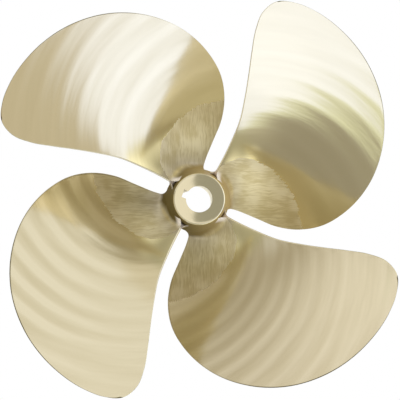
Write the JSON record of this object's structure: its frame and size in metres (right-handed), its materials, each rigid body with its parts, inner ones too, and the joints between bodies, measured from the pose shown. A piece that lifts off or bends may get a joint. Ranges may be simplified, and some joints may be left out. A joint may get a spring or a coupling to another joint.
{
  "type": "ship propeller",
  "caption": "Right-hand ship propeller cast in one piece from bronze: wide skewed blades with polished faces round a barrel-shaped hub with a taper bore and a keyway.",
  "frame": {"origin": "centre of the hub's forward face, at the level that the propeller stands on", "axes": "+Z along the shaft axis, pointing aft; +X and +Y are square to the shaft, and the first blade's generator line points 37 degrees from +X towards +Y"},
  "size_m": [0.5422, 0.5422, 0.1622],
  "materials": {
    "bronze": "polished"
  },
  "bodies": {
    "root": {"propeller": "bronze"}
  },
  "joints": []
}
